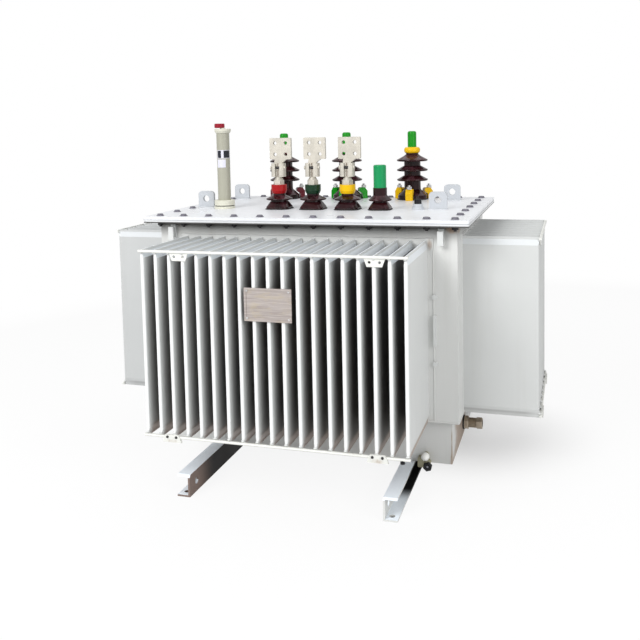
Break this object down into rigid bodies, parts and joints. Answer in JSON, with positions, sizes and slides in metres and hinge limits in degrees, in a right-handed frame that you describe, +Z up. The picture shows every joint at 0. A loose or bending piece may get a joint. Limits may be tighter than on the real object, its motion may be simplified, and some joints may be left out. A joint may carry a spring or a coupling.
{
  "type": "distribution transformer",
  "caption": "Oil-filled distribution transformer: closed tank with corrugated cooling fins on all sides, bolted cover with bushings and oil gauge, on channel skids.",
  "frame": {"origin": "on the floor under the middle of the tank, at the bottom centre of the overall box", "axes": "+X to the right along the long side, +Y to the back, where the high-voltage bushings are, +Z up"},
  "size_m": [1.506, 1.381, 1.165],
  "materials": {
    "grey_paint": "satin light grey enamel, a little rust under the cover",
    "white_paint": "satin white enamel",
    "seal_rubber": "matt",
    "plate_metal": "brushed, blank",
    "brown_glaze": "dark brown glaze",
    "green_plastic": "smooth",
    "dark_green_plastic": "smooth",
    "red_plastic": "smooth",
    "yellow_plastic": "smooth",
    "black_plastic": "matt",
    "terminal_metal": "tinned, matt",
    "tube_paint": "satin beige grey",
    "valve_metal": "dull"
  },
  "bodies": {
    "root": {"cover_gasket": "seal_rubber", "cover_plate": "white_paint", "drain_valve": "valve_metal", "fins_back": "grey_paint", "fins_front": "grey_paint", "fins_left": "grey_paint", "fins_right": "grey_paint", "gauge_base": "white_paint", "gauge_collar": "white_paint", "gauge_knob": "red_plastic", "gauge_tube": "tube_paint", "hv_caps": "green_plastic", "hv_insulator_1": "brown_glaze", "hv_insulator_2": "brown_glaze", "hv_insulator_3": "brown_glaze", "hv_phase_1": "red_plastic", "hv_phase_2": "dark_green_plastic", "hv_phase_3": "yellow_plastic", "lifting_lugs": "grey_paint", "lv_insulator_1": "brown_glaze", "lv_insulator_2": "brown_glaze", "lv_insulator_3": "brown_glaze", "lv_ring_1": "red_plastic", "lv_ring_2": "dark_green_plastic", "lv_ring_3": "yellow_plastic", "lv_terminal_1": "terminal_metal", "lv_terminal_2": "terminal_metal", "lv_terminal_3": "terminal_metal", "nameplate": "plate_metal", "neutral_cap": "green_plastic", "neutral_insulator": "brown_glaze", "pocket_base": "white_paint", "pocket_cap": "black_plastic", "sampling_valve": "valve_metal", "skid_left": "grey_paint", "skid_right": "grey_paint", "tank_body": "grey_paint", "tank_flange": "grey_paint", "tank_hooks": "grey_paint", "tie_bars_back": "grey_paint", "tie_bars_front": "grey_paint", "tie_bars_left": "grey_paint", "tie_bars_right": "grey_paint", "wall_bosses": "grey_paint"}
  },
  "joints": []
}
